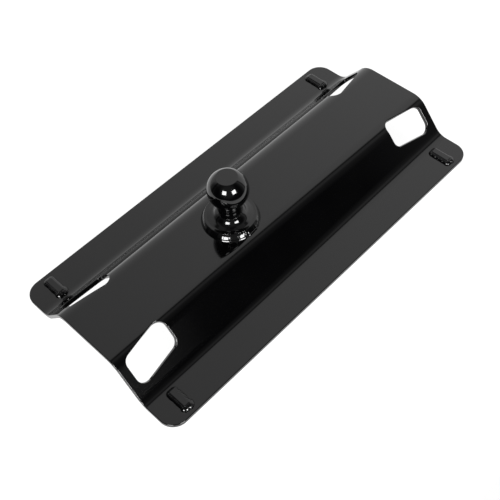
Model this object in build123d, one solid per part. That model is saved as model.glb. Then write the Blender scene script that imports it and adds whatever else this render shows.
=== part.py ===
from build123d import *
import math
import os

# Rail-mounted gooseneck hitch: a formed steel plate that lies across two
# fifth-wheel bed rails, held by four pinned tabs, with a 2-5/16 in ball on top.
#
# Frame: millimetres, +Z up. X runs fore and aft, +X towards the truck's cab.
# +Y is the truck's left. The origin is under the middle of the plate, level
# with the lower ends of the rail tabs.

# ---------------------------------------------------------------- dimensions
# formed plate: a shallow hat section, two flanges joined by a raised channel
PLATE_LENGTH = 635.0
PLATE_WIDTH = 312.0
PLATE_THICK = 6.35
HAT_HEIGHT = 52.0
HAT_HALF_TOP = 54.8           # centre to where slope and top would meet
HAT_HALF_BASE = 99.5          # centre to where slope and flange would meet
BEND_INSIDE_RADIUS = 25.4
PLATE_CORNER_RADIUS = 24.0

# four windows, one in each corner of the channel, laid out on the flat plate:
# `around` is measured along the outer surface from the middle of the top bend
WINDOW_FROM_CENTRE = 267.5
WINDOW_LENGTH = 73.0
WINDOW_AROUND_CENTRE = 21.0
WINDOW_AROUND = 47.0
WINDOW_SLANT_DEG = 12.0
WINDOW_CORNER_RADIUS = 12.7

# rail tabs: flat bars let through slots in the flanges
RAIL_SPACING = 558.8          # fore-and-aft distance between the two rails
TAB_FROM_CENTRE = 128.5
TAB_THICK = 9.525
TAB_WIDTH = 30.0
TAB_BELOW_FLANGE = 44.45
TAB_ABOVE_FLANGE = 5.5
TAB_TOE_INSET = 6.5           # how far each side of the toe tapers in
TAB_TOE_HEIGHT = 22.0
PIN_HOLE_DIAMETER = 13.5
PIN_HOLE_BELOW_FLANGE = 25.4

# weld fillets
WELD_SLANT_DEG = 45.0
WELD_CROWN = 0.7              # width left on top of a bead with slanted sides
TAB_WELD_LEG = 4.9
TAB_WELD_CORNER = 3.5
BACKING_WELD_LEG = 4.4
BALL_WELD_LEG = 6.5
BALL_WELD_HEIGHT = 8.2
BALL_WELD_BULGE = 0.5

# ball: one forging with flat top, neck, shoulder, flange and threaded shank.
# Tilts are in degrees from level, on the way down from the neck.
BALL_DIAMETER = 58.74
BALL_CENTRE_ABOVE_PLATE = 61.0
BALL_BEHIND_CENTRE = 50.8
BALL_TOP_FLAT_RADIUS = 15.1
NECK_RADIUS = 18.3
NECK_FOOT_HEIGHT = 17.6
SHOULDER_DOME_RADIUS = 20.0
SHOULDER_TOP_TILT = 34.0
SHOULDER_FOOT_TILT = 50.0
HOLLOW_RADIUS = 11.0
CONE_TILT = 19.0              # from the hollow out to the flange's flat land
CONE_FOOT_RADIUS = 32.7
BALL_FLANGE_RADIUS = 37.3
BALL_FLANGE_EDGE = 8.5
SHANK_DIAMETER = 31.75
SHANK_BEYOND_NUT = 5.0
SHANK_CHAMFER = 2.4

# hardware under the channel
SHANK_HOLE_DIAMETER = 32.5
BACKING_LENGTH = 152.4
BACKING_WIDTH = 66.7
BACKING_THICK = 9.525
BACKING_CORNER_RADIUS = 6.0
WASHER_OUTSIDE = 50.0
WASHER_THICK = 7.9
WASHER_GAP = 3.0
WASHER_GAP_LEAN_DEG = 25.0
NUT_ACROSS_FLATS = 47.6
NUT_HEIGHT = 27.0
NUT_RIM_SETBACK = 0.6         # turned rim, inside the flats
NUT_CHAMFER_DEG = 30.0
HEXAGON_HALF_ANGLE = math.radians(30)

# ------------------------------------------------------------ derived places
SLOPE_ANGLE = math.atan2(HAT_HEIGHT, HAT_HALF_BASE - HAT_HALF_TOP)
BEND_OUTSIDE_RADIUS = BEND_INSIDE_RADIUS + PLATE_THICK
# from the sharp corner of a bend to where its arc starts
TOP_BEND_RUN = BEND_OUTSIDE_RADIUS * math.tan(SLOPE_ANGLE / 2)
BASE_BEND_RUN = BEND_INSIDE_RADIUS * math.tan(SLOPE_ANGLE / 2)

FLANGE_UNDERSIDE = TAB_BELOW_FLANGE
FLANGE_TOP = FLANGE_UNDERSIDE + PLATE_THICK
CHANNEL_TOP = FLANGE_TOP + HAT_HEIGHT
CHANNEL_UNDERSIDE = CHANNEL_TOP - PLATE_THICK
BACKING_UNDERSIDE = CHANNEL_UNDERSIDE - BACKING_THICK
WASHER_UNDERSIDE = BACKING_UNDERSIDE - WASHER_THICK
NUT_UNDERSIDE = WASHER_UNDERSIDE - NUT_HEIGHT
SHANK_END = NUT_UNDERSIDE - SHANK_BEYOND_NUT
BALL_AXIS_X = -BALL_BEHIND_CENTRE

END_SIDES = {"front": 1, "rear": -1}
SIDE_SIDES = {"left": 1, "right": -1}


# --------------------------------------------------------------- formed plate
def channel_surface(outset):
    """Half of the plate's section, as a wire from the middle of the channel to
    the flange edge, `outset` mm outside the plate's top surface."""
    top = CHANNEL_TOP + outset
    base = FLANGE_TOP + outset
    arc_start = HAT_HALF_TOP - TOP_BEND_RUN
    arc_finish = HAT_HALF_BASE + BASE_BEND_RUN
    top_radius = BEND_OUTSIDE_RADIUS + outset
    base_radius = BEND_INSIDE_RADIUS - outset
    top_centre = (arc_start, top - top_radius)
    base_centre = (arc_finish, base + base_radius)
    slope_start = (
        top_centre[0] + top_radius * math.sin(SLOPE_ANGLE),
        top_centre[1] + top_radius * math.cos(SLOPE_ANGLE),
    )
    slope_finish = (
        base_centre[0] - base_radius * math.sin(SLOPE_ANGLE),
        base_centre[1] - base_radius * math.cos(SLOPE_ANGLE),
    )
    return [
        Line((0, top), (arc_start, top)),
        RadiusArc((arc_start, top), slope_start, top_radius),
        Line(slope_start, slope_finish),
        RadiusArc(slope_finish, (arc_finish, base), -base_radius),
        Line((arc_finish, base), (PLATE_WIDTH / 2, base)),
    ]


def plate_blank():
    """The hat section run the length of the plate, with rounded corners."""
    upper = channel_surface(0)
    lower = channel_surface(-PLATE_THICK)
    edge = Line((PLATE_WIDTH / 2, FLANGE_TOP), (PLATE_WIDTH / 2, FLANGE_UNDERSIDE))
    middle = Line((0, CHANNEL_TOP), (0, CHANNEL_UNDERSIDE))
    half = make_face(upper + lower + [edge, middle])
    half_run = extrude(Plane.YZ * half, PLATE_LENGTH / 2, both=True)
    whole = half_run + mirror(half_run, Plane.XZ)
    outline = RectangleRounded(PLATE_LENGTH, PLATE_WIDTH, PLATE_CORNER_RADIUS)
    return whole & extrude(outline, CHANNEL_TOP)


def window_outline():
    """A window on the flat plate: X along the plate, Y up towards the channel's
    top, with the middle of the top bend at Y = 0."""
    half_length = WINDOW_LENGTH / 2
    half_around = WINDOW_AROUND / 2
    fall = half_length * math.tan(math.radians(WINDOW_SLANT_DEG))
    corners = [
        (-half_length, half_around + fall),
        (half_length, half_around - fall),
        (half_length, -half_around - fall),
        (-half_length, -half_around + fall),
    ]
    window = Pos(WINDOW_FROM_CENTRE, -WINDOW_AROUND_CENTRE) * make_face(Polyline(*corners, close=True))
    return fillet(window.vertices(), WINDOW_CORNER_RADIUS)


def window_cutter():
    """The cutter for the window at the front right. It cuts square to the slope
    below the bend and square to the middle of the bend above it."""
    reach = 2 * BEND_OUTSIDE_RADIUS
    bend_half_arc = BEND_OUTSIDE_RADIUS * SLOPE_ANGLE / 2
    bend_centre = Vector(0, -(HAT_HALF_TOP - TOP_BEND_RUN), CHANNEL_TOP - BEND_OUTSIDE_RADIUS)

    def square_to(lean, along):
        """The plane that touches the outer surface where it leans by `lean`, with
        its origin moved `along` it, up towards the channel's top."""
        up_slope = Vector(0, math.cos(lean), math.sin(lean))
        outward = Vector(0, -math.sin(lean), math.cos(lean))
        return Plane(bend_centre + outward * BEND_OUTSIDE_RADIUS + up_slope * along, (1, 0, 0), outward)

    # the two cuts meet where the window's long sides are straight
    meeting = bend_half_arc + (WINDOW_AROUND_CENTRE - bend_half_arc) / 2
    outline = window_outline()
    on_slope = outline & Pos(WINDOW_FROM_CENTRE, -meeting - reach) * Rectangle(2 * reach, 2 * reach)
    slope_cut = square_to(SLOPE_ANGLE, bend_half_arc) * extrude(on_slope, BEND_OUTSIDE_RADIUS, both=True)
    bend_cut = square_to(SLOPE_ANGLE / 2, 0) * extrude(outline, BEND_OUTSIDE_RADIUS / 2, both=True)
    above = square_to(SLOPE_ANGLE, bend_half_arc - meeting) * (
        Pos(WINDOW_FROM_CENTRE, reach) * Box(2 * reach, 2 * reach, 4 * reach)
    )
    return [slope_cut, bend_cut & above]


def base_plate():
    """The plate with its windows, tab slots and shank hole."""
    plate = plate_blank()
    for cutter in window_cutter():
        lengthwise = mirror(cutter, Plane.YZ)
        plate -= cutter
        plate -= lengthwise
        plate -= mirror(cutter, Plane.XZ)
        plate -= mirror(lengthwise, Plane.XZ)
    for x, y in tab_places().values():
        plate -= Pos(x, y, FLANGE_TOP) * Box(TAB_THICK, TAB_WIDTH, 4 * PLATE_THICK)
    plate -= Pos(BALL_AXIS_X, 0, CHANNEL_TOP) * Cylinder(SHANK_HOLE_DIAMETER / 2, 4 * PLATE_THICK)
    return plate


# ------------------------------------------------------------ tabs and welds
def tab_places():
    """The centre of each rail tab, by the end and side of the plate it is on."""
    places = {}
    for end, end_sign in END_SIDES.items():
        for side, side_sign in SIDE_SIDES.items():
            x = end_sign * RAIL_SPACING / 2
            y = side_sign * TAB_FROM_CENTRE
            places[f"{end}_{side}"] = (x, y)
    return places


def rail_tab(x, y):
    """A flat bar on end at X, Y, with a pin hole and a tapered toe."""
    half = TAB_WIDTH / 2
    toe = half - TAB_TOE_INSET
    top = FLANGE_TOP + TAB_ABOVE_FLANGE
    outline = Polyline(
        (-toe, 0),
        (toe, 0),
        (half, TAB_TOE_HEIGHT),
        (half, top),
        (-half, top),
        (-half, TAB_TOE_HEIGHT),
        close=True,
    )
    bar = extrude(Plane.YZ * make_face(outline), TAB_THICK / 2, both=True)
    pin_height = FLANGE_UNDERSIDE - PIN_HOLE_BELOW_FLANGE
    bar -= Pos(0, 0, pin_height) * Rot(0, 90, 0) * Cylinder(PIN_HOLE_DIAMETER / 2, 2 * TAB_THICK)
    return Pos(x, y, 0) * bar


def fillet_ring(length, width, leg, corner, crown):
    """A weld fillet round a bar of length by width, on Z = 0 and narrowing
    upwards to a flat top `crown` wide."""
    rise = leg - crown
    foot = RectangleRounded(length + 2 * leg, width + 2 * leg, corner)
    return extrude(foot, rise, taper=WELD_SLANT_DEG) - Box(length, width, 4 * leg)


def tab_weld_top(x, y, plate):
    """The weld round the tab at X, Y on the flange's upper side. Its inner end
    runs up against the bend at the foot of the slope."""
    ring = fillet_ring(
        TAB_THICK, TAB_WIDTH, TAB_WELD_LEG, TAB_WELD_CORNER + TAB_WELD_LEG, WELD_CROWN
    )
    return Pos(x, y, FLANGE_TOP) * ring - plate


def tab_weld_bottom(x, y):
    """The weld round the tab at X, Y on the flange's underside."""
    upright = fillet_ring(
        TAB_THICK, TAB_WIDTH, TAB_WELD_LEG, TAB_WELD_CORNER + TAB_WELD_LEG, WELD_CROWN
    )
    return Pos(x, y, FLANGE_UNDERSIDE) * mirror(upright, Plane.XY)


# ----------------------------------------------------------------- hitch ball
def slope_arc(start, radius, first_tilt, last_tilt):
    """An arc down the forging's side, from one tilt to another. It curves
    outwards, or inwards if the radius is negative."""

    def spoke(tilt):
        return Vector(math.sin(math.radians(tilt)), math.cos(math.radians(tilt))) * radius

    centre = Vector(*start) - spoke(first_tilt)
    middle = centre + spoke((first_tilt + last_tilt) / 2)
    return ThreePointArc(start, middle, centre + spoke(last_tilt))


def hitch_ball():
    """The ball forging, turned about its own axis."""
    radius = BALL_DIAMETER / 2
    centre = BALL_CENTRE_ABOVE_PLATE
    flat_height = centre + math.sqrt(radius**2 - BALL_TOP_FLAT_RADIUS**2)
    neck_meets_ball = centre - math.sqrt(radius**2 - NECK_RADIUS**2)
    shank_radius = SHANK_DIAMETER / 2
    shank_bottom = SHANK_END - CHANNEL_TOP
    dome = slope_arc(
        (NECK_RADIUS, NECK_FOOT_HEIGHT), SHOULDER_DOME_RADIUS, SHOULDER_TOP_TILT, SHOULDER_FOOT_TILT
    )
    hollow = slope_arc(dome @ 1, -HOLLOW_RADIUS, SHOULDER_FOOT_TILT, CONE_TILT)
    cone_top = hollow @ 1
    cone_drop = (CONE_FOOT_RADIUS - cone_top.X) * math.tan(math.radians(CONE_TILT))
    cone_foot = (CONE_FOOT_RADIUS, cone_top.Y - cone_drop)
    section = [
        Line((0, shank_bottom), (shank_radius - SHANK_CHAMFER, shank_bottom)),
        Line((shank_radius - SHANK_CHAMFER, shank_bottom), (shank_radius, shank_bottom + SHANK_CHAMFER)),
        Line((shank_radius, shank_bottom + SHANK_CHAMFER), (shank_radius, 0)),
        Line((shank_radius, 0), (BALL_FLANGE_RADIUS, 0)),
        Line((BALL_FLANGE_RADIUS, 0), (BALL_FLANGE_RADIUS, BALL_FLANGE_EDGE)),
        Line((BALL_FLANGE_RADIUS, BALL_FLANGE_EDGE), cone_foot),
        Line(cone_foot, cone_top),
        hollow,
        dome,
        Line((NECK_RADIUS, NECK_FOOT_HEIGHT), (NECK_RADIUS, neck_meets_ball)),
        ThreePointArc(
            (NECK_RADIUS, neck_meets_ball),
            (radius, centre),
            (BALL_TOP_FLAT_RADIUS, flat_height),
        ),
        Line((BALL_TOP_FLAT_RADIUS, flat_height), (0, flat_height)),
        Line((0, flat_height), (0, shank_bottom)),
    ]
    turned = revolve(Plane.XZ * make_face(section), Axis.Z)
    return Pos(BALL_AXIS_X, 0, CHANNEL_TOP) * turned


def ball_weld():
    """The weld that joins the ball's flange to the plate, all the way round."""
    toe = Vector(BALL_FLANGE_RADIUS + BALL_WELD_LEG, 0)
    root = Vector(BALL_FLANGE_RADIUS, 0)
    top = Vector(BALL_FLANGE_RADIUS, BALL_WELD_HEIGHT)
    outward = Vector(BALL_WELD_HEIGHT, BALL_WELD_LEG).normalized()
    crest = (toe + top) / 2 + outward * BALL_WELD_BULGE
    bead = make_face([Line(root, toe), ThreePointArc(toe, crest, top), Line(top, root)])
    return Pos(BALL_AXIS_X, 0, CHANNEL_TOP) * revolve(Plane.XZ * bead, Axis.Z)


# ------------------------------------------------- hardware under the channel
def backing_plate():
    """The plate welded under the channel to spread the ball's load."""
    outline = RectangleRounded(BACKING_LENGTH, BACKING_WIDTH, BACKING_CORNER_RADIUS)
    outline -= Circle(SHANK_HOLE_DIAMETER / 2)
    return Pos(BALL_AXIS_X, 0, BACKING_UNDERSIDE) * extrude(outline, BACKING_THICK)


def backing_plate_weld():
    """The weld round the backing plate, against the channel's underside."""
    outer = RectangleRounded(
        BACKING_LENGTH + 2 * BACKING_WELD_LEG,
        BACKING_WIDTH + 2 * BACKING_WELD_LEG,
        BACKING_CORNER_RADIUS + BACKING_WELD_LEG,
    )
    inner = RectangleRounded(BACKING_LENGTH, BACKING_WIDTH, BACKING_CORNER_RADIUS)
    bead = extrude(outer, BACKING_WELD_LEG - WELD_CROWN, taper=WELD_SLANT_DEG) - extrude(inner, BACKING_THICK)
    return Pos(BALL_AXIS_X, 0, CHANNEL_UNDERSIDE) * mirror(bead, Plane.XY)


def lock_washer():
    """A split spring washer, drawn up flat, with a leaning gap."""
    ring = Circle(WASHER_OUTSIDE / 2) - Circle(SHANK_HOLE_DIAMETER / 2)
    washer = extrude(ring, WASHER_THICK)
    gap = Box(WASHER_OUTSIDE, WASHER_GAP, 4 * WASHER_THICK)
    washer -= Pos(-WASHER_OUTSIDE / 2, 0, WASHER_THICK / 2) * Rot(WASHER_GAP_LEAN_DEG, 0, 0) * gap
    return Pos(BALL_AXIS_X, 0, WASHER_UNDERSIDE) * washer


def ball_nut():
    """The hexagon nut on the shank, with both rims turned off at a slant."""
    hexagon = RegularPolygon(NUT_ACROSS_FLATS / 2, 6, major_radius=False)
    prism = extrude(hexagon - Circle(SHANK_DIAMETER / 2), NUT_HEIGHT)
    rim = NUT_ACROSS_FLATS / 2 - NUT_RIM_SETBACK
    corner = NUT_ACROSS_FLATS / 2 / math.cos(HEXAGON_HALF_ANGLE)
    slant = (corner - rim) * math.tan(math.radians(NUT_CHAMFER_DEG))
    turned = make_face(
        Polyline(
            (0, 0),
            (rim, 0),
            (corner, slant),
            (corner, NUT_HEIGHT - slant),
            (rim, NUT_HEIGHT),
            (0, NUT_HEIGHT),
            close=True,
        )
    )
    return Pos(BALL_AXIS_X, 0, NUT_UNDERSIDE) * (prism & revolve(Plane.XZ * turned, Axis.Z))


# --------------------------------------------------------------------- output
def build():
    """Every piece in its place, by node name."""
    plate = base_plate()
    pieces = {
        "base_plate": plate,
        "hitch_ball": hitch_ball(),
        "ball_weld": ball_weld(),
        "backing_plate": backing_plate(),
        "backing_plate_weld": backing_plate_weld(),
        "lock_washer": lock_washer(),
        "ball_nut": ball_nut(),
    }
    for name, (x, y) in tab_places().items():
        pieces[f"rail_tab_{name}"] = rail_tab(x, y)
        pieces[f"tab_weld_top_{name}"] = tab_weld_top(x, y, plate)
        pieces[f"tab_weld_bottom_{name}"] = tab_weld_bottom(x, y)
    return pieces


os.makedirs("parts", exist_ok=True)
for node, piece in build().items():
    export_step(piece, f"parts/{node}.step")
    print(f"{node}: {piece.volume:.0f} mm3")
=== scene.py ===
import math

import bmesh
import bpy
import numpy as np
from mathutils import Matrix, Vector, noise


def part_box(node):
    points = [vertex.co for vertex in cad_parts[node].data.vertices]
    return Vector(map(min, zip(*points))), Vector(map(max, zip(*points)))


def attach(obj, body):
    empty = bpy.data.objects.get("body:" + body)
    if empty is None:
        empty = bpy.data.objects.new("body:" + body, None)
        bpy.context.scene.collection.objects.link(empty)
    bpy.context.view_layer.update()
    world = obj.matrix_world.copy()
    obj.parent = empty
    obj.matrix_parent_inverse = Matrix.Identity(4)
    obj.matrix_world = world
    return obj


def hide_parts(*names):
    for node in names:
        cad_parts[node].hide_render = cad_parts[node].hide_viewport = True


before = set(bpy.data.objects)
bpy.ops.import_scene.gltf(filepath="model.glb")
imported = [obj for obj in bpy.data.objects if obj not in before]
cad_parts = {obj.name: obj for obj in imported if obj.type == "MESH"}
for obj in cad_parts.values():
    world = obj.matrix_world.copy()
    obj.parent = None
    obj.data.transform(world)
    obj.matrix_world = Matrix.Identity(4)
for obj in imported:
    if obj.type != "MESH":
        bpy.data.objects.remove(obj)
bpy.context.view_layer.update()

# Everything is in metres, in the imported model's frame: +X towards the truck's
# cab, +Y to its left, +Z up, with the floor at the tabs' lower ends.
MM = 0.001
JOINING_DISTANCE = 0.002 * MM
LINE_TOLERANCE = 0.0001 * MM
ENDS = {"front": 1, "rear": -1}
SIDES = {"left": 1, "right": -1}


# ------------------------------------------------------------------ dimensions
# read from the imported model
plate_low, plate_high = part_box("base_plate")
ball_low, ball_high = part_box("hitch_ball")
backing_low, backing_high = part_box("backing_plate")
washer_low, washer_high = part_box("lock_washer")
nut_low, nut_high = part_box("ball_nut")

PLATE_LENGTH = plate_high.x - plate_low.x
HALF_WIDTH = plate_high.y
CHANNEL_TOP = plate_high.z
FLANGE_UNDERSIDE = plate_low.z
BALL_X = (ball_low.x + ball_high.x) / 2

# the formed plate's section
PLATE_THICK = 6.35 * MM
HAT_HALF_TOP = 54.8 * MM
HAT_HALF_BASE = 99.5 * MM
BEND_INSIDE_RADIUS = 25.4 * MM
PLATE_CORNER_RADIUS = 24.0 * MM
PLATE_RIM_RADIUS = 1.3 * MM
FLANGE_TOP = FLANGE_UNDERSIDE + PLATE_THICK
SLOPE = math.atan2(CHANNEL_TOP - FLANGE_TOP, HAT_HALF_BASE - HAT_HALF_TOP)
TOP_RADIUS = BEND_INSIDE_RADIUS + PLATE_THICK
BASE_RADIUS = BEND_INSIDE_RADIUS

# windows on the flat plate, measured round the top surface
WINDOW_FROM_CENTRE = 267.5 * MM
WINDOW_LENGTH = 73.0 * MM
WINDOW_PAST_BEND = 21.0 * MM
WINDOW_AROUND = 47.0 * MM
WINDOW_SLANT = math.radians(12.0)
WINDOW_CORNER_RADIUS = 12.7 * MM

# tabs, and the holes for the shank
TAB_TOE_INSET = 6.5 * MM
TAB_TOE_HEIGHT = 22.0 * MM
PIN_HOLE_RADIUS = 6.75 * MM
PIN_HOLE_HEIGHT = FLANGE_UNDERSIDE - 25.4 * MM
TAB_CORNER_RADIUS = 1.2 * MM
TAB_RIM_RADIUS = 0.9 * MM
SLOT_CORNER_RADIUS = 1.0 * MM
SHANK_HOLE_RADIUS = 16.25 * MM
BACKING_CORNER_RADIUS = 6.0 * MM
BACKING_RIM_RADIUS = 0.7 * MM

# ball, as radius and height above the channel, and as degrees from level on the
# way down from the neck
BALL_RADIUS = 29.37 * MM
BALL_CENTRE = 61.0 * MM
BALL_FLAT_RADIUS = 15.1 * MM
NECK_RADIUS = 18.3 * MM
NECK_FOOT = 17.6 * MM
DOME_RADIUS = 20.0 * MM
DOME_TOP_TILT = 34
DOME_FOOT_TILT = 50
HOLLOW_RADIUS = 11.0 * MM
CONE_TILT = 19
CONE_FOOT_RADIUS = 32.7 * MM
FLANGE_RADIUS = (ball_high.x - ball_low.x) / 2
FLANGE_EDGE = 8.5 * MM
SHANK_RADIUS = 15.875 * MM
SHANK_CHAMFER = 2.4 * MM
THREAD_PITCH = 2.117 * MM
THREAD_DEPTH = 1.1 * MM

# radii where the forging's surfaces run into each other
FLANGE_BLEND = 0.5 * MM
CONE_BLEND = 1.5 * MM
NECK_BLEND = 0.2 * MM
CROWN_BLEND = 0.35 * MM

# washer and nut
WASHER_GAP = 3.0 * MM
WASHER_LEAN = math.radians(25.0)
WASHER_EDGE_RADIUS = 0.6 * MM
NUT_RIM_SETBACK = 0.6 * MM
NUT_CHAMFER = math.radians(30.0)
NUT_BORE_CHAMFER = 1.2 * MM
NUT_CORNER_REACH = 1.148      # corners as a share of the flats, a little blunt

# weld beads: the leg lies on the sheet and the height stands against the wall
TAB_BEAD = {
    "leg": 4.7 * MM, "height": 4.6 * MM, "crown": 1.0 * MM,
    "pitch": 2.7 * MM, "lift": 0.25 * MM, "unevenness": 0.13,
}
BALL_BEAD = {
    "leg": 4.6 * MM, "height": 8.3 * MM, "crown": 0.45 * MM,
    "pitch": 4.2 * MM, "lift": 0.05 * MM, "unevenness": 0.010, "groove": 0.25 * MM,
}
BACKING_BEAD = {
    "leg": 4.2 * MM, "height": 4.2 * MM, "crown": 0.7 * MM,
    "pitch": 3.2 * MM, "lift": 0.3 * MM, "unevenness": 0.06,
}
# lumps as place along the bead from 0 to 1, width, and extra size. A tab's bead
# starts and stops at its right-hand end. The ball's is widest on the side that
# was welded first, and lumpy where it restarts.
TAB_BEAD_LUMPS = ((0.02, 0.035, 0.35), (0.10, 0.03, 0.5), (0.16, 0.035, 0.3))
BALL_BEAD_LUMPS = (
    (0.625, 0.17, 0.60), (0.583, 0.022, 0.06), (0.685, 0.015, 0.05),
    (0.735, 0.007, 0.10), (0.785, 0.006, 0.18),
)
BEAD_TOE_SINK = 0.1 * MM      # the toe lies this far under the sheet's surface
BEAD_ROOT_SINK = 0.25 * MM    # and the root this far inside wall and sheet
TAB_BEAD_CORNER_RADIUS = 1.5 * MM
TAB_BEAD_STEP = 0.35 * MM
BACKING_BEAD_STEP = 0.6 * MM
BEAD_WANDER_SCALE = 130       # unevenness of a bead, in cycles per metre
BEAD_DRIFT_SCALE = 420
BEAD_SPECK_SCALE = 700
SEED_STEP = 1.7               # between one tab bead's noise and the next

# coat colours, between which the tone drifts
COAT_DARK = (0.0004, 0.0004, 0.0005)
COAT_PALE = (0.0007, 0.0007, 0.0008)
ZINC_BRIGHT = (0.56, 0.57, 0.59)
ZINC_DULL = (0.42, 0.42, 0.41)
TONE_SCALE = 14               # textures in cycles per metre
WAVE_SCALE = 55
PEEL_SCALE = 620
DUST_SCALE = 2600
STAIN_SCALE = 90
GRAIN_SCALE = 2200
WAVE_DEPTH = 0.6 * MM
FINE_DEPTH = 0.1 * MM
DUST_HAZE = 0.16              # how much rougher the coat is under dust

# the studio: floor, two softboxes alike but for their place, and the camera
FLOOR_NEAR_X = -0.85
FLOOR_NEAR_Y = -0.48
FLOOR_REACH = 6.0
FLOOR_GREY = 0.22
FLOOR_GLOW = 0.9
SOFTBOX_DISTANCE = 5.0
SOFTBOX_WIDTH = 1.8
SOFTBOX_HEIGHT = 1.75
SOFTBOX_BRIGHTNESS = 27.0
SOFTBOXES = {"left_softbox": (-154.7, 28.0), "right_softbox": (-97.2, 25.0)}
CAMERA_LENS = 60.24
CAMERA_SENSOR = 36.0
CAMERA_PLACE = (-0.5318, -0.5562, 0.9764 + FLANGE_TOP)
CAMERA_RIGHT = (0.69148, -0.72102, -0.04460)
CAMERA_BACK = (-0.40002, -0.43358, 0.80746)


# ------------------------------------------------------------- mesh building
def add_piece(name, vertices, faces, normals=None):
    """A mesh object from points and faces, smooth-shaded, with its faces turned
    outwards."""
    mesh = bpy.data.meshes.new(name)
    mesh.from_pydata([tuple(v) for v in vertices], [], faces)
    piece = bpy.data.objects.new(name, mesh)
    bpy.context.scene.collection.objects.link(piece)
    solid = bmesh.new()
    solid.from_mesh(mesh)
    bmesh.ops.recalc_face_normals(solid, faces=solid.faces)
    solid.to_mesh(mesh)
    solid.free()
    mesh.polygons.foreach_set("use_smooth", [True] * len(mesh.polygons))
    if normals is not None:
        mesh.normals_split_custom_set_from_vertices([tuple(n) for n in normals])
    mesh.update()
    return piece


def weigh_normals(piece):
    """Shades the large faces flat and leaves the bend to the small ones."""
    modifier = piece.modifiers.new("weighted_normals", "WEIGHTED_NORMAL")
    modifier.mode = "FACE_AREA"
    modifier.keep_sharp = True


def arc(centre, radius, start, finish, steps):
    """Points on an arc, as an array of X, Y, with the angles in radians."""
    angles = np.linspace(start, finish, steps + 1)
    return np.stack([centre[0] + radius * np.cos(angles), centre[1] + radius * np.sin(angles)], 1)


def rectangle(low, high):
    """The corners between two opposite ones, given as X, Y."""
    return [(low[0], low[1]), (high[0], low[1]), (high[0], high[1]), (low[0], high[1])]


def rounded_loop(corners, radius, steps=12):
    """A closed loop round convex corners, each rounded by `radius`, as points
    with the normals that point out of the loop."""
    points = []
    normals = []
    count = len(corners)
    corners = [np.array(c, float) for c in corners]
    for i, corner in enumerate(corners):
        before = corners[i - 1] - corner
        after = corners[(i + 1) % count] - corner
        before /= np.linalg.norm(before)
        after /= np.linalg.norm(after)
        half = math.acos(max(-1.0, min(1.0, before @ after))) / 2
        middle = (before + after) / np.linalg.norm(before + after)
        centre = corner + middle * radius / math.sin(half)
        first = corner + before * radius / math.tan(half) - centre
        start = math.atan2(first[1], first[0])
        turn = math.pi - 2 * half
        if before[0] * after[1] - before[1] * after[0] > 0:
            turn = -turn
        for angle in np.linspace(start, start + turn, steps + 1):
            normal = np.array([math.cos(angle), math.sin(angle)])
            points.append(centre + radius * normal)
            normals.append(normal)
    return np.array(points), np.array(normals)


def circle_loop(centre, radius, steps=64):
    """A round loop, as points with the normals that point out of it."""
    angles = np.linspace(0, 2 * math.pi, steps, endpoint=False)
    normals = np.stack([np.cos(angles), np.sin(angles)], 1)
    return np.array(centre) + radius * normals, normals


def cut_at_lines(points, normals, inset, lines):
    """Adds a point wherever the loop, moved by `inset` along its normals, crosses
    one of the lines of constant second coordinate."""
    out_points = []
    out_normals = []
    for i in range(len(points)):
        j = (i + 1) % len(points)
        start, finish = points[i], points[j]
        inner_start = start[1] + inset * normals[i][1]
        inner_finish = finish[1] + inset * normals[j][1]
        out_points.append(start)
        out_normals.append(normals[i])
        low, high = sorted((inner_start, inner_finish))
        crossed = [line for line in lines if low + LINE_TOLERANCE < line < high - LINE_TOLERANCE]
        crossed.sort(reverse=bool(inner_start > inner_finish))
        for line in crossed:
            share = (line - inner_start) / (inner_finish - inner_start)
            out_points.append(start + (finish - start) * share)
            out_normals.append(normals[i] + (normals[j] - normals[i]) * share)
    return np.array(out_points), np.array(out_normals)


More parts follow.
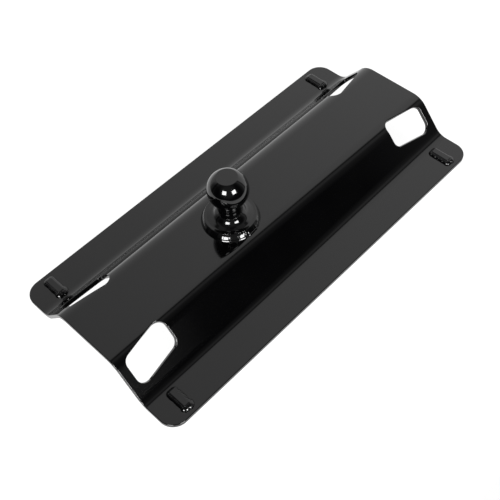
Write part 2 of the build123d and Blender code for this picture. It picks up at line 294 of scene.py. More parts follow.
def sheet_piece(name, outer, holes, thick, rim, place, lines=(), rim_steps=4):
    """A sheet with a rounded rim round its outline and round each hole.

    outer and holes are loops (points, normals) on the flat sheet. place(u, v,
    depth) gives a point and the directions of u, of v and of the sheet's face,
    so a sheet can be flat or bent. lines are the values of v where it bends."""
    material_side = [(outer, -1.0)] + [(hole, 1.0) for hole in holes]
    loops = []
    for (points, normals), inward in material_side:
        points, normals = cut_at_lines(points, normals, inward * rim, lines)
        loops.append((points, normals, inward))

    # the flat middle, between the inset loops
    flat = bmesh.new()
    edges = []
    for points, normals, inward in loops:
        ring = [flat.verts.new((*(p + n * inward * rim), 0.0)) for p, n in zip(points, normals)]
        edges += [flat.edges.new((ring[i], ring[i - 1])) for i in range(len(ring))]
    bmesh.ops.triangle_fill(flat, edges=edges, use_beauty=True, use_dissolve=False)
    for line in lines:
        everything = flat.verts[:] + flat.edges[:] + flat.faces[:]
        bmesh.ops.bisect_plane(
            flat, geom=everything, dist=LINE_TOLERANCE, plane_co=(0, line, 0), plane_no=(0, 1, 0)
        )
    flat.verts.index_update()
    middle = np.array([v.co[:2] for v in flat.verts])
    middle_faces = [[v.index for v in f.verts] for f in flat.faces]
    flat.free()

    vertices = []
    normals_out = []
    faces = []
    for depth, sign in ((0.0, 1.0), (thick, -1.0)):
        base = len(vertices)
        for u, v in middle:
            point, _, _, face_normal = place(u, v, depth)
            vertices.append(point)
            normals_out.append(sign * face_normal)
        faces += [[base + i for i in face] for face in middle_faces]

    # the rounded rims: quarter turn, wall, quarter turn
    turns = np.linspace(0, math.pi / 2, rim_steps + 1)
    rows = [(rim * (1 - math.sin(a)), rim * (1 - math.cos(a)), math.cos(a), math.sin(a)) for a in turns]
    rows += [(inset, thick - depth, -up, out) for inset, depth, up, out in reversed(rows)]
    for points, normals, inward in loops:
        base = len(vertices)
        count = len(points)
        for inset, depth, up, out in rows:
            for p, n in zip(points, normals):
                u, v = p + n * inward * inset
                point, u_dir, v_dir, face_normal = place(u, v, depth)
                vertices.append(point)
                aside = (u_dir * float(n[0]) + v_dir * float(n[1])) * -inward
                normals_out.append(up * face_normal + out * aside)
        for row in range(len(rows) - 1):
            for i in range(count):
                j = (i + 1) % count
                faces.append(
                    [base + row * count + i, base + row * count + j,
                     base + (row + 1) * count + j, base + (row + 1) * count + i]
                )
    return welded_piece(name, vertices, faces, normals_out)


def welded_piece(name, vertices, faces, normals):
    """A piece whose coincident points are joined, keeping each point's normal."""
    cloud = bmesh.new()
    points = [cloud.verts.new(vertex) for vertex in vertices]
    cloud.verts.index_update()
    doubles = bmesh.ops.find_doubles(cloud, verts=points, dist=JOINING_DISTANCE)["targetmap"]
    partner = {double.index: target.index for double, target in doubles.items()}
    cloud.free()
    kept = [i for i in range(len(vertices)) if i not in partner]
    place_of = {i: k for k, i in enumerate(kept)}
    new_index = [place_of[partner.get(i, i)] for i in range(len(vertices))]
    joined = []
    for face in faces:
        ring = [new_index[i] for i in face]
        ring = [v for k, v in enumerate(ring) if v != ring[k - 1]]
        if len(set(ring)) >= 3:
            joined.append(ring)
    return add_piece(name, [vertices[i] for i in kept], joined, [normals[i] for i in kept])


def grid_piece(name, grid, closed_rows=True, closed_columns=True, caps=False):
    """A piece from a grid of points, rows by columns. caps fills the first and
    the last row when the rows themselves aren't closed into a ring."""
    rows, columns = grid.shape[:2]
    faces = []
    for i in range(rows if closed_rows else rows - 1):
        for j in range(columns if closed_columns else columns - 1):
            k = (i + 1) % rows
            m = (j + 1) % columns
            faces.append([i * columns + j, i * columns + m, k * columns + m, k * columns + j])
    if caps:
        faces.append(list(range(columns)))
        faces.append([(rows - 1) * columns + j for j in range(columns)])
    return add_piece(name, grid.reshape(-1, 3), faces)


def finish_piece(piece, node, material):
    """Joins a piece to the frame, in place of a CAD node."""
    piece.data.materials.append(material)
    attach(piece, "root")
    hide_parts(node)


# ------------------------------------------------------------------- materials
def new_material(name):
    """A material with a Principled shader, its nodes and a way to link them."""
    material = bpy.data.materials.new(name)
    material.use_nodes = True
    nodes = material.node_tree.nodes
    shader = nodes["Principled BSDF"]
    return material, nodes, material.node_tree.links, shader


def noise_node(nodes, links, coordinates, scale, detail, roughness=0.5):
    """3-D noise over the object, with `scale` in cycles per metre."""
    texture = nodes.new("ShaderNodeTexNoise")
    texture.inputs["Scale"].default_value = scale
    texture.inputs["Detail"].default_value = detail
    texture.inputs["Roughness"].default_value = roughness
    links.new(coordinates, texture.inputs["Vector"])
    return texture.outputs["Fac"]


def spread(nodes, links, value, low, high, to_low, to_high):
    """Maps a value's range to another, clamped."""
    node = nodes.new("ShaderNodeMapRange")
    node.inputs["From Min"].default_value = low
    node.inputs["From Max"].default_value = high
    node.inputs["To Min"].default_value = to_low
    node.inputs["To Max"].default_value = to_high
    links.new(value, node.inputs["Value"])
    return node.outputs["Result"]


def mix_colours(nodes, links, share, first, second):
    """A colour between two, by a value from 0 to 1."""
    node = nodes.new("ShaderNodeMix")
    node.data_type = "RGBA"
    node.inputs["A"].default_value = (*first, 1.0)
    node.inputs["B"].default_value = (*second, 1.0)
    links.new(share, node.inputs["Factor"])
    return node.outputs["Result"]


def bump(nodes, links, height, distance, strength, under=None):
    """A bump of `distance` metres, on top of another bump if one is given."""
    node = nodes.new("ShaderNodeBump")
    node.inputs["Distance"].default_value = distance
    node.inputs["Strength"].default_value = strength
    links.new(height, node.inputs["Height"])
    if under is not None:
        links.new(under, node.inputs["Normal"])
    return node.outputs["Normal"]


def powder_coat(name, roughness, peel, waviness):
    """Gloss black powder coat: faint orange peel over slow waves, fine dust in
    the gloss, and a tone that drifts a little."""
    material, nodes, links, shader = new_material(name)
    place = nodes.new("ShaderNodeTexCoord").outputs["Object"]
    drift = noise_node(nodes, links, place, TONE_SCALE, 3)
    orange_peel = noise_node(nodes, links, place, PEEL_SCALE, 2, 0.4)
    waves = noise_node(nodes, links, place, WAVE_SCALE, 1)
    dust = noise_node(nodes, links, place, DUST_SCALE, 2, 0.6)

    tone = spread(nodes, links, drift, 0.35, 0.65, 0.0, 1.0)
    links.new(mix_colours(nodes, links, tone, COAT_DARK, COAT_PALE), shader.inputs["Base Color"])
    haze = spread(nodes, links, dust, 0.55, 0.8, roughness, roughness + DUST_HAZE)
    links.new(haze, shader.inputs["Roughness"])
    slow = bump(nodes, links, waves, WAVE_DEPTH, waviness)
    links.new(bump(nodes, links, orange_peel, FINE_DEPTH, peel, slow), shader.inputs["Normal"])
    shader.inputs["IOR"].default_value = 1.5
    return material


def zinc_plating(name):
    """Bright zinc on rolled and turned steel, with faint bands and stains."""
    material, nodes, links, shader = new_material(name)
    place = nodes.new("ShaderNodeTexCoord").outputs["Object"]
    stain = noise_node(nodes, links, place, STAIN_SCALE, 4)
    grain = noise_node(nodes, links, place, GRAIN_SCALE, 3)
    tone = spread(nodes, links, stain, 0.35, 0.7, 0.0, 1.0)
    links.new(mix_colours(nodes, links, tone, ZINC_BRIGHT, ZINC_DULL), shader.inputs["Base Color"])
    links.new(spread(nodes, links, stain, 0.3, 0.7, 0.24, 0.42), shader.inputs["Roughness"])
    links.new(bump(nodes, links, grain, FINE_DEPTH, 0.25), shader.inputs["Normal"])
    shader.inputs["Metallic"].default_value = 1.0
    return material


plate_coat = powder_coat("plate_coat", 0.07, 0.035, 0.02)
ball_coat = powder_coat("ball_coat", 0.06, 0.03, 0.015)
tab_coat = powder_coat("tab_coat", 0.10, 0.06, 0.05)
weld_coat = powder_coat("weld_coat", 0.07, 0.05, 0.05)
zinc_plate = zinc_plating("zinc_plate")


# ---------------------------------------------------------------- formed plate
TOP_FLAT = HAT_HALF_TOP - TOP_RADIUS * math.tan(SLOPE / 2)
FLANGE_START = HAT_HALF_BASE + BASE_RADIUS * math.tan(SLOPE / 2)
TOP_ARC = TOP_RADIUS * SLOPE
BASE_ARC = BASE_RADIUS * SLOPE
TOP_BEND_CENTRE = np.array([TOP_FLAT, CHANNEL_TOP - TOP_RADIUS])
BASE_BEND_CENTRE = np.array([FLANGE_START, FLANGE_TOP + BASE_RADIUS])
SLOPE_OUT = np.array([math.sin(SLOPE), math.cos(SLOPE)])
SLOPE_DOWN = np.array([math.cos(SLOPE), -math.sin(SLOPE)])
SLOPE_TOP = TOP_BEND_CENTRE + TOP_RADIUS * SLOPE_OUT
SLOPE_FOOT = BASE_BEND_CENTRE - BASE_RADIUS * SLOPE_OUT
SLOPE_RUN = float(np.linalg.norm(SLOPE_FOOT - SLOPE_TOP))
TOP_BEND_END = TOP_FLAT + TOP_ARC
SLOPE_END = TOP_BEND_END + SLOPE_RUN
BASE_BEND_END = SLOPE_END + BASE_ARC
FLAT_HALF_WIDTH = BASE_BEND_END + HALF_WIDTH - FLANGE_START


def folded(along, around, depth):
    """Where a point of the flat plate lies on the formed one: `around` runs over
    the top surface from the centreline, `depth` goes into the sheet."""
    side = 1.0 if around >= 0 else -1.0
    reach = abs(around)
    if reach <= TOP_FLAT:
        angle = 0.0
        spot = np.array([reach, CHANNEL_TOP - depth])
    elif reach <= TOP_BEND_END:
        angle = (reach - TOP_FLAT) / TOP_RADIUS
        spot = TOP_BEND_CENTRE + (TOP_RADIUS - depth) * np.array([math.sin(angle), math.cos(angle)])
    elif reach <= SLOPE_END:
        angle = SLOPE
        spot = SLOPE_TOP + SLOPE_DOWN * (reach - TOP_BEND_END) - SLOPE_OUT * depth
    elif reach <= BASE_BEND_END:
        angle = SLOPE - (reach - SLOPE_END) / BASE_RADIUS
        spot = BASE_BEND_CENTRE - (BASE_RADIUS + depth) * np.array([math.sin(angle), math.cos(angle)])
    else:
        angle = 0.0
        spot = np.array([FLANGE_START + reach - BASE_BEND_END, FLANGE_TOP - depth])
    point = Vector((along, side * spot[0], spot[1]))
    around_direction = Vector((0, math.cos(angle), -side * math.sin(angle)))
    outward = Vector((0, side * math.sin(angle), math.cos(angle)))
    return point, Vector((1, 0, 0)), around_direction, outward


def flange_surface(y):
    """Height of the plate's top surface over its flange and lower bend."""
    if abs(y) >= FLANGE_START:
        return FLANGE_TOP
    return BASE_BEND_CENTRE[1] - math.sqrt(BASE_RADIUS**2 - (FLANGE_START - abs(y)) ** 2)


def window_loop(end, side):
    """One window of the flat plate."""
    half_length = WINDOW_LENGTH / 2
    half_around = WINDOW_AROUND / 2
    middle = TOP_FLAT + TOP_ARC / 2 + WINDOW_PAST_BEND
    rise = half_length * math.tan(WINDOW_SLANT)
    corners = [
        (-half_length, -half_around - rise),
        (half_length, -half_around + rise),
        (half_length, half_around + rise),
        (-half_length, half_around - rise),
    ]
    placed = [(end * (WINDOW_FROM_CENTRE + u), side * (middle + v)) for u, v in corners]
    return rounded_loop(placed, WINDOW_CORNER_RADIUS, 14)


def slot_loop(node):
    """The slot that a tab fills, on the flat plate."""
    low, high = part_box(node)
    side = 1.0 if low.y > 0 else -1.0
    shift = BASE_BEND_END - FLANGE_START
    inner, outer = sorted((abs(low.y), abs(high.y)))
    corners = rectangle((low.x, inner), (high.x, outer))
    placed = [(x, side * (y + shift)) for x, y in corners]
    return rounded_loop(placed, SLOT_CORNER_RADIUS, 4)


def build_plate():
    """The formed plate, wrapped from its flat pattern."""
    far_corner = (PLATE_LENGTH / 2, FLAT_HALF_WIDTH)
    corners = rectangle((-far_corner[0], -far_corner[1]), far_corner)
    outer = rounded_loop(corners, PLATE_CORNER_RADIUS, 20)
    holes = [window_loop(end, side) for end in ENDS.values() for side in SIDES.values()]
    holes += [slot_loop(f"rail_tab_{end}_{side}") for end in ENDS for side in SIDES]
    holes.append(circle_loop((BALL_X, 0.0), SHANK_HOLE_RADIUS))
    bends = []
    for start, length in ((TOP_FLAT, TOP_ARC), (SLOPE_END, BASE_ARC)):
        bends += list(np.linspace(start, start + length, 25))
    lines = [-v for v in bends] + bends
    plate = sheet_piece("formed_plate", outer, holes, PLATE_THICK, PLATE_RIM_RADIUS, folded, lines)
    finish_piece(plate, "base_plate", plate_coat)


# ------------------------------------------------------------------------ tabs
def build_tab(end, side):
    """A rail tab: sawn flat bar with a pin hole and a tapered toe."""
    node = f"rail_tab_{end}_{side}"
    low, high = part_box(node)
    corners = [
        (low.y + TAB_TOE_INSET, low.z),
        (high.y - TAB_TOE_INSET, low.z),
        (high.y, low.z + TAB_TOE_HEIGHT),
        (high.y, high.z),
        (low.y, high.z),
        (low.y, low.z + TAB_TOE_HEIGHT),
    ]
    outer = rounded_loop(corners, TAB_CORNER_RADIUS, 5)
    hole = circle_loop(((low.y + high.y) / 2, PIN_HOLE_HEIGHT), PIN_HOLE_RADIUS, 48)

    def upright(u, v, depth):
        return Vector((high.x - depth, u, v)), Vector((0, 1, 0)), Vector((0, 0, 1)), Vector((1, 0, 0))

    tab = sheet_piece(f"tab_{end}_{side}", outer, [hole], high.x - low.x, TAB_RIM_RADIUS, upright)
    finish_piece(tab, node, tab_coat)


# ----------------------------------------------------------------- weld beads
def ripple(phase):
    """One scale of a weld bead after another, from 0 in the valley to 1."""
    return 0.5 - 0.5 * math.cos(2 * math.pi * phase)


def bead_grid(path, outward, foot, seed, leg, height, crown, pitch, lift, unevenness, lumps=(), groove=0.0):
    """A fillet weld along a closed path at the foot of a wall.

    path holds points on the wall's foot and outward the directions away from the
    wall. foot(x, y) is the height of the surface under the toe. crown is how far
    the face stands out of a straight slope, pitch and lift are the ripples' length
    and height, and groove is the depth of the line between a heavy weld's main
    pass and the narrow one at its toe."""
    across = np.linspace(0, 1, 25)
    lengths = np.linalg.norm(np.roll(path, -1, 0) - path, axis=1)
    total = lengths.sum()
    ripples = max(8, round(total / pitch))
    grid = []
    travelled = 0.0
    for point, away, length in zip(path, outward, lengths):
        share = travelled / total
        travelled += length
        x, y = point
        wander = noise.noise(Vector((x * BEAD_WANDER_SCALE, y * BEAD_WANDER_SCALE, seed)))
        drift = noise.noise(Vector((x * BEAD_DRIFT_SCALE, y * BEAD_DRIFT_SCALE, seed + 7.0)))
        lump = sum(
            extra * math.exp(-(((share - at + 0.5) % 1 - 0.5) / width) ** 2) for at, width, extra in lumps
        )
        size = 1 + unevenness * (wander + 0.4 * drift) + lump
        row = []
        for u in across:
            swell = math.sin(math.pi * u)
            crescent = ripples * share + 0.45 * swell + 0.35 * wander
            scale = lift * (ripple(crescent) - 0.5) * swell**0.6
            speck = noise.noise(Vector((x * BEAD_SPECK_SCALE, y * BEAD_SPECK_SCALE, u * 3 + seed)))
            pock = lump * unevenness * 5 * MM * speck * swell
            line = groove * math.exp(-(((u - 0.2) / 0.06) ** 2))
            stand = crown * swell * (0.6 + 0.4 * size) + scale + pock - line
            # the face leans at 45 degrees, so it stands out sideways and upwards
            stand *= math.sqrt(0.5)
            reach = leg * size * (1 - u) + stand
            rise = height * u + stand
            out_x, out_y = point + away * reach
            row.append((out_x, out_y, foot(out_x, out_y) - (1 - u) * BEAD_TOE_SINK + rise))
        # back of the bead, just inside the wall and the sheet
        back_x, back_y = point - away * BEAD_ROOT_SINK
        row.append((back_x, back_y, row[-1][2]))
        row.append((back_x, back_y, foot(*point) - BEAD_ROOT_SINK))
        row.append((row[0][0], row[0][1], row[0][2] - BEAD_ROOT_SINK))
        grid.append(row)
    return np.array(grid)


def resample(points, normals, step):
    """Even steps along a closed loop, with the normals blended between points."""
    ahead = np.roll(points, -1, 0)
    lengths = np.linalg.norm(ahead - points, axis=1)
    knots = np.concatenate([[0], np.cumsum(lengths)])
    count = int(knots[-1] / step)
    stations = np.linspace(0, knots[-1], count, endpoint=False)
    looped_points = np.vstack([points, points[:1]])
    looped_normals = np.vstack([normals, normals[:1]])
    path = np.stack([np.interp(stations, knots, looped_points[:, i]) for i in range(2)], 1)
    away = np.stack([np.interp(stations, knots, looped_normals[:, i]) for i in range(2)], 1)
    away /= np.linalg.norm(away, axis=1)[:, None]
    return path, away


def build_tab_bead(end, side, level, seed):
    """The weld round a tab, on top of the flange or under it."""
    low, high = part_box(f"rail_tab_{end}_{side}")
    points, normals = rounded_loop(rectangle(low, high), TAB_BEAD_CORNER_RADIUS, 8)
    path, away = resample(points, normals, TAB_BEAD_STEP)
    grid = bead_grid(path, away, lambda x, y: flange_surface(y), seed, lumps=TAB_BEAD_LUMPS, **TAB_BEAD)
    if level == "bottom":
        # mirrored in the flange, with its back kept just inside the sheet
        grid[:, :, 2] = FLANGE_UNDERSIDE - (grid[:, :, 2] - FLANGE_TOP)
        grid[:, :, 2] = np.minimum(grid[:, :, 2], FLANGE_UNDERSIDE + 0.3 * MM)
    bead = grid_piece(f"tab_bead_{level}_{end}_{side}", grid)
    finish_piece(bead, f"tab_weld_{level}_{end}_{side}", weld_coat)


def build_ball_bead():
    """The weld round the ball's flange."""
    path, away = circle_loop((BALL_X, 0.0), FLANGE_RADIUS, 720)
    grid = bead_grid(path, away, lambda x, y: CHANNEL_TOP, seed=3.0, lumps=BALL_BEAD_LUMPS, **BALL_BEAD)
    bead = grid_piece("ball_bead", grid)
    finish_piece(bead, "ball_weld", weld_coat)


def build_backing_bead():
    """The weld round the backing plate, under the channel."""
    points, normals = rounded_loop(rectangle(backing_low, backing_high), BACKING_CORNER_RADIUS, 12)
    path, away = resample(points, normals, BACKING_BEAD_STEP)
    grid = bead_grid(path, away, lambda x, y: 0.0, seed=21.0, **BACKING_BEAD)
    grid[:, :, 2] = backing_high.z - grid[:, :, 2]
    bead = grid_piece("backing_bead", grid)
    finish_piece(bead, "backing_plate_weld", weld_coat)


# ------------------------------------------------------------------------ ball
def blend_corner(profile, index, radius, steps=6):
    """Rounds one corner of a profile of (radius, height) points."""
    before, corner, after = (np.array(profile[index + k]) for k in (-1, 0, 1))
    a = (before - corner) / np.linalg.norm(before - corner)
    b = (after - corner) / np.linalg.norm(after - corner)
    rounded = []
    for share in np.linspace(0, 1, steps + 1):
        start = corner + a * radius * (1 - share)
        finish = corner + b * radius * share
        rounded.append(tuple(start + (finish - start) * share))
    return rounded


def slope_arc(start, radius, first_tilt, last_tilt, steps=14):
    """Points down the forging's side, from one tilt from level to another, in
    degrees. The arc curves outwards, or inwards if the radius is negative."""
    tilts = np.radians(np.linspace(first_tilt, last_tilt, steps + 1))
    spokes = radius * np.stack([np.sin(tilts), np.cos(tilts)], 1)
    return [tuple(p) for p in np.array(start) - spokes[0] + spokes]


def thread_cut(height, angle, top):
    """How far a helical thread's surface lies inside the shank's full radius."""
    turn = (height / THREAD_PITCH - angle / (2 * math.pi)) % 1.0
    groove = 1 - abs(2 * turn - 1)
    fade = min(1.0, max(0.0, (top - height) / (2 * THREAD_PITCH)))
    return THREAD_DEPTH * min(1.0, max(0.0, groove * 1.25 - 0.12)) * fade


def build_ball():
    """The ball forging: flat-topped ball, neck, shoulder, flange, and a shank
    with a real helical thread."""
    top = CHANNEL_TOP
    shank_end = ball_low.z - top
    flat_height = BALL_CENTRE + math.sqrt(BALL_RADIUS**2 - BALL_FLAT_RADIUS**2)
    neck_angle = -math.acos(NECK_RADIUS / BALL_RADIUS)
    flat_angle = math.acos(BALL_FLAT_RADIUS / BALL_RADIUS)
    sphere = [tuple(p) for p in arc((0, BALL_CENTRE), BALL_RADIUS, neck_angle, flat_angle, 64)]
    neck_top = sphere[0]

    dome = slope_arc((NECK_RADIUS, NECK_FOOT), DOME_RADIUS, DOME_TOP_TILT, DOME_FOOT_TILT, 20)
    hollow = slope_arc(dome[-1], -HOLLOW_RADIUS, DOME_FOOT_TILT, CONE_TILT, 16)
    cone_drop = (CONE_FOOT_RADIUS - hollow[-1][0]) * math.tan(math.radians(CONE_TILT))
    cone_foot = (CONE_FOOT_RADIUS, hollow[-1][1] - cone_drop)
    land = [(FLANGE_RADIUS, FLANGE_EDGE), cone_foot]
    edge = [(FLANGE_RADIUS, 0), land[0], land[1]]
    foot = [dome[2], dome[0], (NECK_RADIUS, NECK_FOOT + 4 * MM)]
    crown = [sphere[-2], (BALL_FLAT_RADIUS, flat_height), (0, flat_height)]

    body = [(FLANGE_RADIUS, 0), (FLANGE_RADIUS, FLANGE_EDGE * 0.8)]
    body += blend_corner(edge, 1, FLANGE_BLEND)
    body += [tuple(np.array(land[0]) + (np.array(land[1]) - land[0]) * share) for share in (0.2, 0.5)]
    body += blend_corner([land[0], cone_foot, hollow[-1]], 1, CONE_BLEND)
    body += hollow[::-1] + dome[-2:1:-1]
    body += blend_corner(foot, 1, NECK_BLEND)
    neck_height = neck_top[1] - NECK_FOOT
    body += [(NECK_RADIUS, NECK_FOOT + share * neck_height) for share in (0.12, 0.4, 0.7, 0.95)]
    body += sphere[:-1]
    body += blend_corner(crown, 1, CROWN_BLEND)
    body += [(BALL_FLAT_RADIUS * share, flat_height) for share in (0.75, 0.4, 0.12)]

    steps = 160
    thread_top = washer_high.z - top
    heights = np.linspace(shank_end, thread_top, 200)
    rings = [(SHANK_RADIUS * 0.3, shank_end, False)]
    for z in heights:
        chamfer_reach = SHANK_RADIUS - max(0.0, SHANK_CHAMFER - (z - shank_end))
        rings.append((chamfer_reach, z, True))
    rings += [(SHANK_RADIUS, 0.0, False)] + [(r, z, False) for r, z in body]

    grid = []
    for radius, height, threaded in rings:
        ring = []
        for k in range(steps):
            angle = 2 * math.pi * k / steps
            reach = radius
            if threaded:
                reach = min(radius, SHANK_RADIUS - thread_cut(height, angle, thread_top))
            ring.append((BALL_X + reach * math.cos(angle), reach * math.sin(angle), top + height))
        grid.append(ring)
    ball = grid_piece("ball_forging", np.array(grid), closed_rows=False, caps=True)
    weigh_normals(ball)
    finish_piece(ball, "hitch_ball", ball_coat)


# -------------------------------------------------------------------- hardware
def build_backing_plate():
    """The backing plate, with rounded edges and a hole for the shank."""
    outer = rounded_loop(rectangle(backing_low, backing_high), BACKING_CORNER_RADIUS, 12)
    hole = circle_loop((BALL_X, 0.0), SHANK_HOLE_RADIUS)
    thick = backing_high.z - backing_low.z

    def level(u, v, depth):
        point = Vector((u, v, backing_high.z - depth))
        return point, Vector((1, 0, 0)), Vector((0, 1, 0)), Vector((0, 0, 1))

    plate = sheet_piece("backing_slab", outer, [hole], thick, BACKING_RIM_RADIUS, level)
    finish_piece(plate, "backing_plate", plate_coat)


def build_washer():
    """A split lock washer: a bar of square section bent into a ring, with a
    leaning gap between its ends."""
    inner = SHANK_HOLE_RADIUS
    outer = (washer_high.x - washer_low.x) / 2
    low, high = washer_low.z, washer_high.z
    section, _ = rounded_loop(rectangle((inner, low), (outer, high)), WASHER_EDGE_RADIUS, 4)
    gap = WASHER_GAP / outer
    lean = math.tan(WASHER_LEAN) / outer
    grid = []
    for share in np.linspace(0, 1, 120):
        row = []
        for radius, height in section:
            angle = math.pi + gap / 2 + share * (2 * math.pi - gap) + lean * (height - (low + high) / 2)
            row.append((BALL_X + radius * math.cos(angle), radius * math.sin(angle), height))
        grid.append(row)
    washer = grid_piece("split_washer", np.array(grid), closed_rows=False, caps=True)
    weigh_normals(washer)
    finish_piece(washer, "lock_washer", zinc_plate)


def build_nut():
    """The hexagon nut, with turned rims and a countersunk bore."""
    half_flats = (nut_high.y - nut_low.y) / 2
    height = nut_high.z - nut_low.z
    rim = half_flats - NUT_RIM_SETBACK
    bore = SHANK_RADIUS
    steps = 144
    grid = []
    for k in range(steps):
        angle = 2 * math.pi * k / steps
        # a flat faces +Y and a corner faces +X
        from_flat = (angle - math.pi / 2 + math.pi / 6) % (math.pi / 3) - math.pi / 6
        side = min(half_flats / math.cos(from_flat), half_flats * NUT_CORNER_REACH)
        drop = max(0.0, side - rim) * math.tan(NUT_CHAMFER)
        profile = [
            (bore, NUT_BORE_CHAMFER), (bore + NUT_BORE_CHAMFER, 0.0),
            (rim - 0.2 * MM, 0.0), (rim + 0.1 * MM, 0.1 * MM),
            (side - 0.25 * MM, drop + 0.05 * MM), (side, drop + 0.35 * MM),
            (side, height / 2),
            (side, height - drop - 0.35 * MM), (side - 0.25 * MM, height - drop - 0.05 * MM),
            (rim + 0.1 * MM, height - 0.1 * MM), (rim - 0.2 * MM, height),
            (bore + NUT_BORE_CHAMFER, height), (bore, height - NUT_BORE_CHAMFER),
        ]
        grid.append(
            [(BALL_X + r * math.cos(angle), r * math.sin(angle), nut_low.z + z) for r, z in profile]
        )
    nut = grid_piece("hex_nut", np.array(grid))
    nut.data.set_sharp_from_angle(angle=math.radians(20))
    weigh_normals(nut)
    finish_piece(nut, "ball_nut", zinc_plate)


# ----------------------------------------------------------------- the studio
def build_floor():
    """A pale floor, bright enough to keep shadows faint. It ends not far in
    front of the plate, where the room is dim."""
    mesh = bpy.data.meshes.new("floor")
    corners = rectangle((FLOOR_NEAR_X, FLOOR_NEAR_Y), (FLOOR_REACH, FLOOR_REACH))
    mesh.from_pydata([(x, y, 0) for x, y in corners], [], [(0, 1, 2, 3)])
    floor = bpy.data.objects.new("floor", mesh)
    bpy.context.scene.collection.objects.link(floor)
    material, _, _, shader = new_material("floor_paint")
    shader.inputs["Base Color"].default_value = (FLOOR_GREY, FLOOR_GREY, FLOOR_GREY, 1)
    shader.inputs["Roughness"].default_value = 1.0
    shader.inputs["Specular IOR Level"].default_value = 0.0
    shader.inputs["Emission Color"].default_value = (1, 1, 1, 1)
    shader.inputs["Emission Strength"].default_value = FLOOR_GLOW
    floor.data.materials.append(material)


def direction(azimuth, elevation):
    """A unit direction from degrees: azimuth from +X towards +Y, elevation up."""
    a, e = math.radians(azimuth), math.radians(elevation)
    return Vector((math.cos(e) * math.cos(a), math.cos(e) * math.sin(a), math.sin(e)))


def build_softbox(name, azimuth, elevation):
    """A nearly square soft light that faces the ball."""
    light = bpy.data.lights.new(name, "AREA")
    light.shape = "RECTANGLE"
    light.size = SOFTBOX_WIDTH
    light.size_y = SOFTBOX_HEIGHT
    light.energy = SOFTBOX_BRIGHTNESS * math.pi * SOFTBOX_WIDTH * SOFTBOX_HEIGHT
    lamp = bpy.data.objects.new(name, light)
    target = Vector((BALL_X, 0, CHANNEL_TOP + BALL_CENTRE))
    lamp.location = target + direction(azimuth, elevation) * SOFTBOX_DISTANCE
    lamp.rotation_euler = (lamp.location - target).to_track_quat("Z", "Y").to_euler()
    lamp.visible_camera = False
    bpy.context.scene.collection.objects.link(lamp)


# brightness of the room's light, by how far a direction lies on the far side
SKY_PROFILE = (
    (-0.30, 0.02), (-0.10, 0.09), (0.05, 0.15), (0.13, 0.33), (0.25, 0.33),
    (0.29, 0.12), (0.36, 0.14), (0.41, 0.75), (0.47, 1.0),
)
# the far side is +Y, and +X counts towards it: fast at first, up to a shelf
SKY_FAST_PART = 3
SKY_SHELF = 0.35
SKY_BEHIND_PART = 0.5
# ranges of closeness to a direction, and what the light is over each: the light
# ahead, two faint glows and the shade on the left
AHEAD_RANGE = (0.15, 0.60, 0.75, 1.13)
SIDE_GLOW = ((-77, 18.5), (0.9954, 1.0, 0.0, 0.15))
NEAR_GLOW = ((-133, 38), (0.68, 0.92, 0.0, 0.17))
LEFT_SHADE = ((145, 10), (0.80, 0.93, 1.0, 0.25))


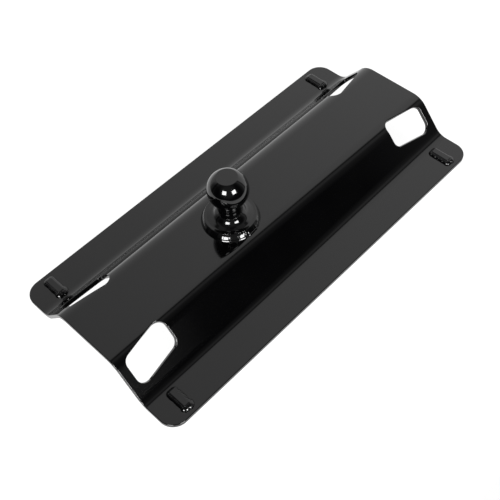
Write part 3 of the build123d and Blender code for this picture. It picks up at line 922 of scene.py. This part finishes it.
def build_sky():
    """The light all round: white over the far side of the plate, dim on the near
    side, and plain white behind the object."""
    world = bpy.data.worlds.new("studio")
    bpy.context.scene.world = world
    world.use_nodes = True
    nodes, links = world.node_tree.nodes, world.node_tree.links
    nodes.clear()
    place = nodes.new("ShaderNodeTexCoord").outputs["Generated"]

    def facing(towards):
        """How far a direction lies along another, times that one's length."""
        node = nodes.new("ShaderNodeVectorMath")
        node.operation = "DOT_PRODUCT"
        node.inputs[1].default_value = towards
        links.new(place, node.inputs[0])
        return node.outputs["Value"]

    def combine(operation, first, second):
        """Two values, or a value and a number, joined by one operation."""
        node = nodes.new("ShaderNodeMath")
        node.operation = operation
        for socket, value in zip(node.inputs, (first, second)):
            if isinstance(value, float):
                socket.default_value = value
            else:
                links.new(value, socket)
        return node.outputs["Value"]

    def patch(centre, closeness):
        """A soft patch of light or shade round a direction."""
        return spread(nodes, links, facing(direction(*centre)), *closeness)

    # how far a direction lies on the far side, against how bright it is there
    shelf = combine("MINIMUM", facing((SKY_FAST_PART, 0, 0)), SKY_SHELF)
    forward = combine("MAXIMUM", facing((1, 0, 0)), shelf)
    sideways = combine("MAXIMUM", forward, facing((SKY_BEHIND_PART, 0, 0)))
    reach = combine("ADD", facing((0, 1, 0)), sideways)
    profile = nodes.new("ShaderNodeValToRGB")
    profile.color_ramp.interpolation = "EASE"
    stops = profile.color_ramp.elements
    stops.remove(stops[1])
    for place_at, value in SKY_PROFILE:
        stop = stops.new((place_at + 1) / 2)
        stop.color = (value, value, value, 1)
    stops.remove(stops[0])
    links.new(spread(nodes, links, reach, -1.0, 1.0, 0.0, 1.0), profile.inputs["Fac"])
    ahead = spread(nodes, links, facing((1, 0, 0)), *AHEAD_RANGE)
    glow = combine("ADD", patch(*SIDE_GLOW), patch(*NEAR_GLOW))
    light = combine("MULTIPLY", combine("MULTIPLY", profile.outputs["Color"], ahead), patch(*LEFT_SHADE))
    light = combine("ADD", light, glow)

    studio = nodes.new("ShaderNodeBackground")
    links.new(light, studio.inputs["Color"])
    backdrop = nodes.new("ShaderNodeBackground")
    backdrop.inputs["Color"].default_value = (1, 1, 1, 1)
    seen = nodes.new("ShaderNodeLightPath").outputs["Is Camera Ray"]
    chosen = nodes.new("ShaderNodeMixShader")
    links.new(seen, chosen.inputs["Fac"])
    links.new(studio.outputs["Background"], chosen.inputs[1])
    links.new(backdrop.outputs["Background"], chosen.inputs[2])
    output = nodes.new("ShaderNodeOutputWorld")
    links.new(chosen.outputs["Shader"], output.inputs["Surface"])


def build_camera():
    """The camera: high off the plate's rear right corner, looking down along it."""
    data = bpy.data.cameras.new("camera")
    data.lens = CAMERA_LENS
    data.sensor_width = CAMERA_SENSOR
    camera = bpy.data.objects.new("camera", data)
    right = Vector(CAMERA_RIGHT).normalized()
    back = Vector(CAMERA_BACK)
    back = (back - right * back.dot(right)).normalized()
    up = back.cross(right)
    turned = Matrix((right, up, back)).transposed().to_4x4()
    camera.matrix_world = Matrix.Translation(CAMERA_PLACE) @ turned
    bpy.context.scene.collection.objects.link(camera)
    bpy.context.scene.camera = camera


# ------------------------------------------------------------------- assembly
build_plate()
bead_seed = 1.0
for end_name in ENDS:
    for side_name in SIDES:
        build_tab(end_name, side_name)
        for bead_level in ("top", "bottom"):
            build_tab_bead(end_name, side_name, bead_level, bead_seed)
            bead_seed += SEED_STEP
build_ball()
build_ball_bead()
build_backing_plate()
build_backing_bead()
build_washer()
build_nut()

build_floor()
build_sky()
for softbox_name, (softbox_azimuth, softbox_elevation) in SOFTBOXES.items():
    build_softbox(softbox_name, softbox_azimuth, softbox_elevation)
build_camera()
bpy.context.scene.view_settings.view_transform = "Standard"
